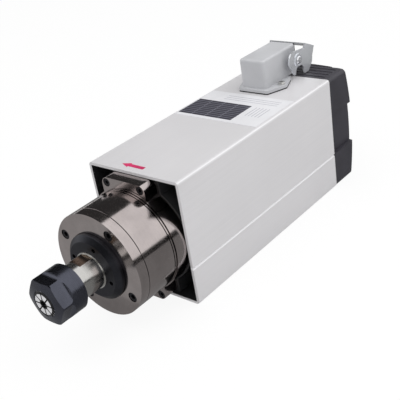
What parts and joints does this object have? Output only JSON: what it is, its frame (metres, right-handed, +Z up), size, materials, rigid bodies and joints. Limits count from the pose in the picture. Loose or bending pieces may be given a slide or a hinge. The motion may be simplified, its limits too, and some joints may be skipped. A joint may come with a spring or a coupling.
{
  "type": "motor spindle",
  "caption": "Square air-cooled motor spindle with a round nose, a collet and clamping nut, a rear fan cap and an angled power connector.",
  "frame": {"origin": "on the spindle axis, at the front face of the front cover", "axes": "+Y along the spindle axis to the rear, +Z up to the connector, +X to the right seen from the nose side"},
  "size_m": [0.104, 0.3955, 0.153],
  "materials": {
    "tube_alloy": "anodised, fine satin",
    "nose_steel": "turned and polished steel",
    "screw_black": "blackened steel",
    "cap_plastic": "charcoal moulding",
    "fan_plastic": "black moulding",
    "connector_alloy": "light grey powder coat",
    "lever_chrome": "chromed sheet",
    "peg_chrome": "chromed",
    "zinc": "zinc plated",
    "seal_rubber": "black rubber",
    "insert_plastic": "grey moulding",
    "contact_brass": "bright",
    "wire_cover": "insulated wire",
    "copper": "enamelled copper",
    "laminations": "stacked sheet",
    "rotor_alloy": "cast",
    "bearing_steel": "ground",
    "cage_plastic": "moulded cage",
    "shaft_steel": "ground steel",
    "dust_cap_steel": "blackened steel",
    "nut_steel": "blue-black steel",
    "collet_steel": "ground steel",
    "spring_steel": "spring steel",
    "plate_white": "white plate"
  },
  "bodies": {
    "frame": {"housing_tube": "tube_alloy", "nose_housing": "nose_steel", "front_cover": "nose_steel", "front_cover_screws": "screw_black", "flange_screws": "screw_black", "front_bearing_outer_rings": "bearing_steel", "bearing_outer_spacer": "bearing_steel", "stator_core": "laminations", "stator_windings": "copper", "rear_bearing_housing": "tube_alloy", "rear_housing_screws": "screw_black", "rear_bearing_outer_ring": "bearing_steel", "preload_spring": "spring_steel", "rear_bearing_cover": "tube_alloy", "rear_cover_screws": "screw_black", "rear_cap": "cap_plastic", "rear_grille": "cap_plastic", "cap_screws": "screw_black", "connector_housing": "connector_alloy", "connector_gasket": "seal_rubber", "connector_screws": "zinc", "connector_insert": "insert_plastic", "connector_contacts": "contact_brass", "connector_seal": "seal_rubber", "lever_pegs": "peg_chrome", "lead_wires": "wire_cover", "rating_plate": "plate_white"},
    "rotor": {"shaft": "shaft_steel", "dust_cap": "dust_cap_steel", "front_bearing_inner_rings": "bearing_steel", "bearing_inner_spacer": "bearing_steel", "rotor_core": "laminations", "rotor_end_rings": "rotor_alloy", "rear_bearing_inner_ring": "bearing_steel", "rear_lock_nut": "screw_black", "cooling_fan": "fan_plastic", "fan_clip": "spring_steel"},
    "front_cage": {"front_bearing_balls": "bearing_steel", "front_bearing_cages": "cage_plastic"},
    "rear_cage": {"rear_bearing_balls": "bearing_steel", "rear_bearing_cage": "cage_plastic"},
    "collet": {"collet": "collet_steel"},
    "nut": {"collet_nut": "nut_steel"},
    "lever": {"locking_lever": "lever_chrome"}
  },
  "joints": [
    {"name": "spindle_spin", "type": "hinge", "parent": "frame", "child": "rotor", "pos_m": [0, 0, 0], "axis": [0, 1, 0], "continuous": true},
    {"name": "front_cage_spin", "type": "hinge", "parent": "frame", "child": "front_cage", "pos_m": [0, 0.029, 0], "axis": [0, 1, 0], "continuous": true},
    {"name": "rear_cage_spin", "type": "hinge", "parent": "frame", "child": "rear_cage", "pos_m": [0, 0.242, 0], "axis": [0, 1, 0], "continuous": true},
    {"name": "collet_slide", "type": "slide", "parent": "rotor", "child": "collet", "axis": [0, -1, 0], "range_m": [0, 0.003]},
    {"name": "nut_turn", "type": "hinge", "parent": "collet", "child": "nut", "pos_m": [0, 0, 0], "axis": [0, -1, 0], "range_deg": [0, 720]},
    {"name": "lever_pivot", "type": "hinge", "parent": "frame", "child": "lever", "pos_m": [-0.003, 0.29, 0.0784], "axis": [1, 0, 0], "range_deg": [0, 80]}
  ],
  "couplings": [
    {"joint": "front_cage_spin", "follows": "spindle_spin", "ratio": 0.4196},
    {"joint": "rear_cage_spin", "follows": "spindle_spin", "ratio": 0.4139},
    {"joint": "nut_turn", "follows": "collet_slide", "rad_per_m": 4188.8}
  ]
}
